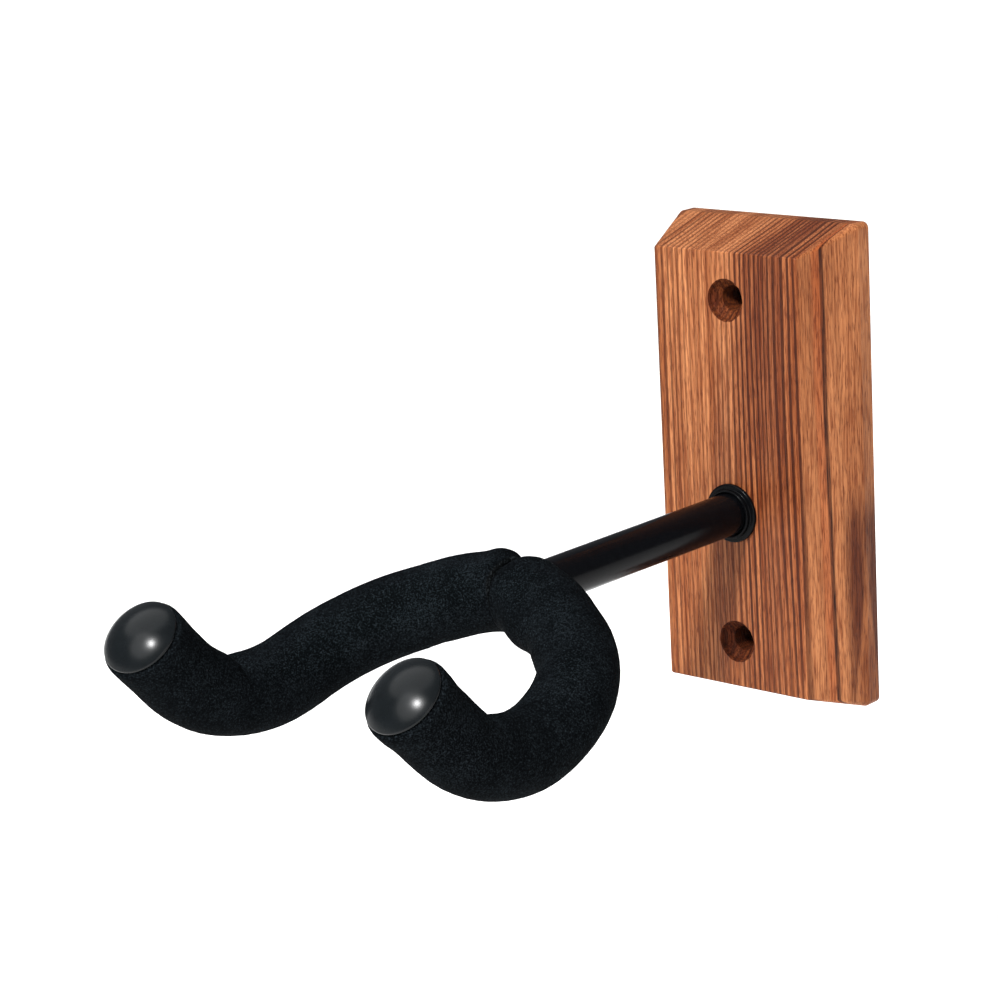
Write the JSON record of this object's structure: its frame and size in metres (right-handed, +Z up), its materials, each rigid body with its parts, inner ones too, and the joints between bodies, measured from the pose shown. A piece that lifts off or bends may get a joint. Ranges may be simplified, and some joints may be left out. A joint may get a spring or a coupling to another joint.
{
  "type": "wall guitar hanger",
  "caption": "Bevelled hardwood wall block with a steel shaft that swivels in nylon bushes and carries a foam-covered, upturned yoke that holds a guitar by its headstock.",
  "frame": {"origin": "on the wall plane, midway between the two screw holes, which is the centre of the block's back face", "axes": "+X right as seen from the room, -Y forward out of the wall, +Z up; the shaft and the swivel axis run along Y, 10.5 mm below the origin"},
  "size_m": [0.1028, 0.1975, 0.1264],
  "materials": {
    "oiled_hardwood": "oiled satin",
    "black_nylon": "moulded semi-gloss",
    "black_enamelled_steel": "gloss enamel",
    "zinc_plated_steel": "bright zinc",
    "spring_steel": "oiled",
    "natural_nylon": "moulded",
    "black_rubber_foam": "matt closed-cell skin",
    "black_vinyl": "dipped satin gloss"
  },
  "bodies": {
    "base": {"wall_block": "oiled_hardwood", "front_bush": "black_nylon", "rear_bush": "black_nylon"},
    "yoke": {"shaft": "black_enamelled_steel", "thrust_washer": "zinc_plated_steel", "disc_spring": "spring_steel", "lock_nut": "zinc_plated_steel", "lock_nut_insert": "natural_nylon", "yoke_rod": "black_enamelled_steel", "foam_sleeve_left": "black_rubber_foam", "foam_sleeve_right": "black_rubber_foam", "end_cap_left": "black_vinyl", "end_cap_right": "black_vinyl"}
  },
  "joints": [
    {"name": "yoke_swivel", "type": "hinge", "parent": "base", "child": "yoke", "pos_m": [0, -0.023, -0.0105], "axis": [0, -1, 0], "continuous": true}
  ]
}
